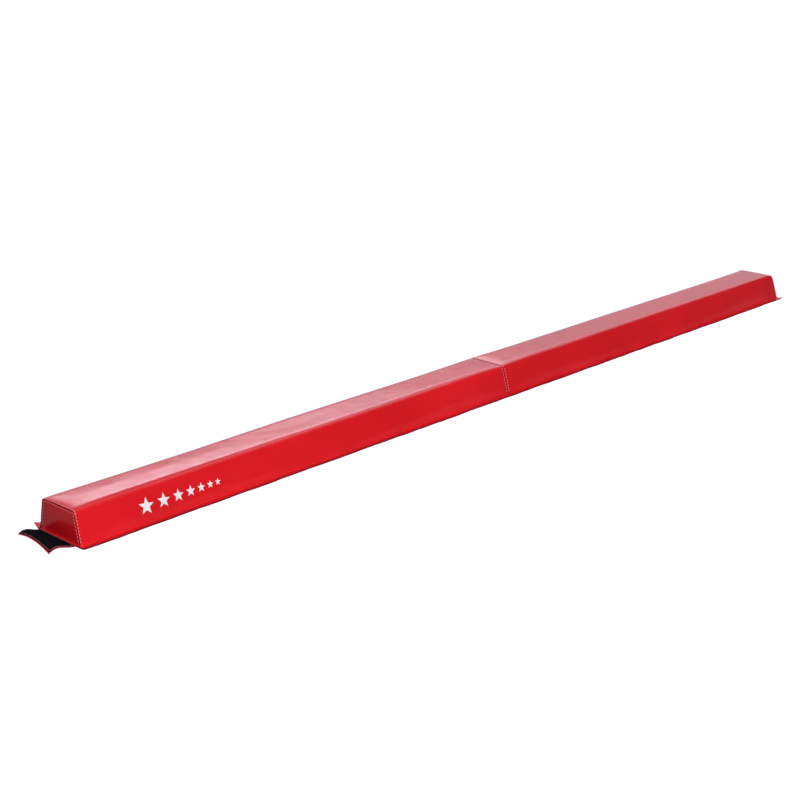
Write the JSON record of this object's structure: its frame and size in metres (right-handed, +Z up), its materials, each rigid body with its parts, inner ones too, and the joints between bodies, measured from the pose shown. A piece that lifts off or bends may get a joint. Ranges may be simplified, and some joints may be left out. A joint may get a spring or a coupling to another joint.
{
  "type": "folding balance beam",
  "caption": "Low foam floor balance beam with a tapered section in a sewn vinyl cover, folding in half under itself at the middle, with a hook-and-loop end flap for joining a second beam.",
  "frame": {"origin": "bottom centre of the whole beam's bounding box, end flap included, on the floor; the fold line lies a little to +X of it", "axes": "+X along the beam, from the flap end to the plain end; +Y to the back long side; +Z up"},
  "size_m": [2.4562, 0.165, 0.0659],
  "materials": {
    "red_vinyl": "glossy",
    "base_vinyl": "satin, fine non-slip grain",
    "foam": "matte closed-cell foam",
    "thread": "bonded polyester thread",
    "loop_pile": "matte loop pile",
    "hook_tape": "woven hook tape",
    "print_film": "satin printed film"
  },
  "bodies": {
    "left_half": {"left_back_flange_thread": "thread", "left_base_panel": "base_vinyl", "left_cover": "red_vinyl", "left_end_flange_thread": "thread", "left_foam_core": "foam", "left_front_flange_thread": "thread", "left_inner_cover_thread": "thread", "left_inner_end_panel": "red_vinyl", "left_inner_end_thread": "thread", "left_outer_cover_thread": "thread", "left_outer_end_panel": "red_vinyl", "left_outer_end_thread": "thread", "print_star_1": "print_film", "print_star_2": "print_film", "print_star_3": "print_film", "print_star_4": "print_film", "print_star_5": "print_film", "print_star_6": "print_film", "print_star_7": "print_film"},
    "right_half": {"right_back_flange_thread": "thread", "right_base_panel": "base_vinyl", "right_cover": "red_vinyl", "right_end_flange_thread": "thread", "right_foam_core": "foam", "right_front_flange_thread": "thread", "right_inner_cover_thread": "thread", "right_inner_end_panel": "red_vinyl", "right_inner_end_thread": "thread", "right_outer_cover_thread": "thread", "right_outer_end_panel": "red_vinyl", "right_outer_end_thread": "thread", "hook_pad": "hook_tape"},
    "connector_flap": {"flap": "red_vinyl", "loop_pad": "loop_pile", "loop_pad_thread": "thread"}
  },
  "joints": [
    {"name": "fold", "type": "hinge", "parent": "left_half", "child": "right_half", "pos_m": [0.02559, 0, -0.0002], "axis": [0, 1, 0], "range_deg": [0, 180]},
    {"name": "flap_hinge", "type": "hinge", "parent": "left_half", "child": "connector_flap", "pos_m": [-1.17771, 0, 0.0018], "axis": [0, 1, 0], "range_deg": [-85, 70]}
  ]
}
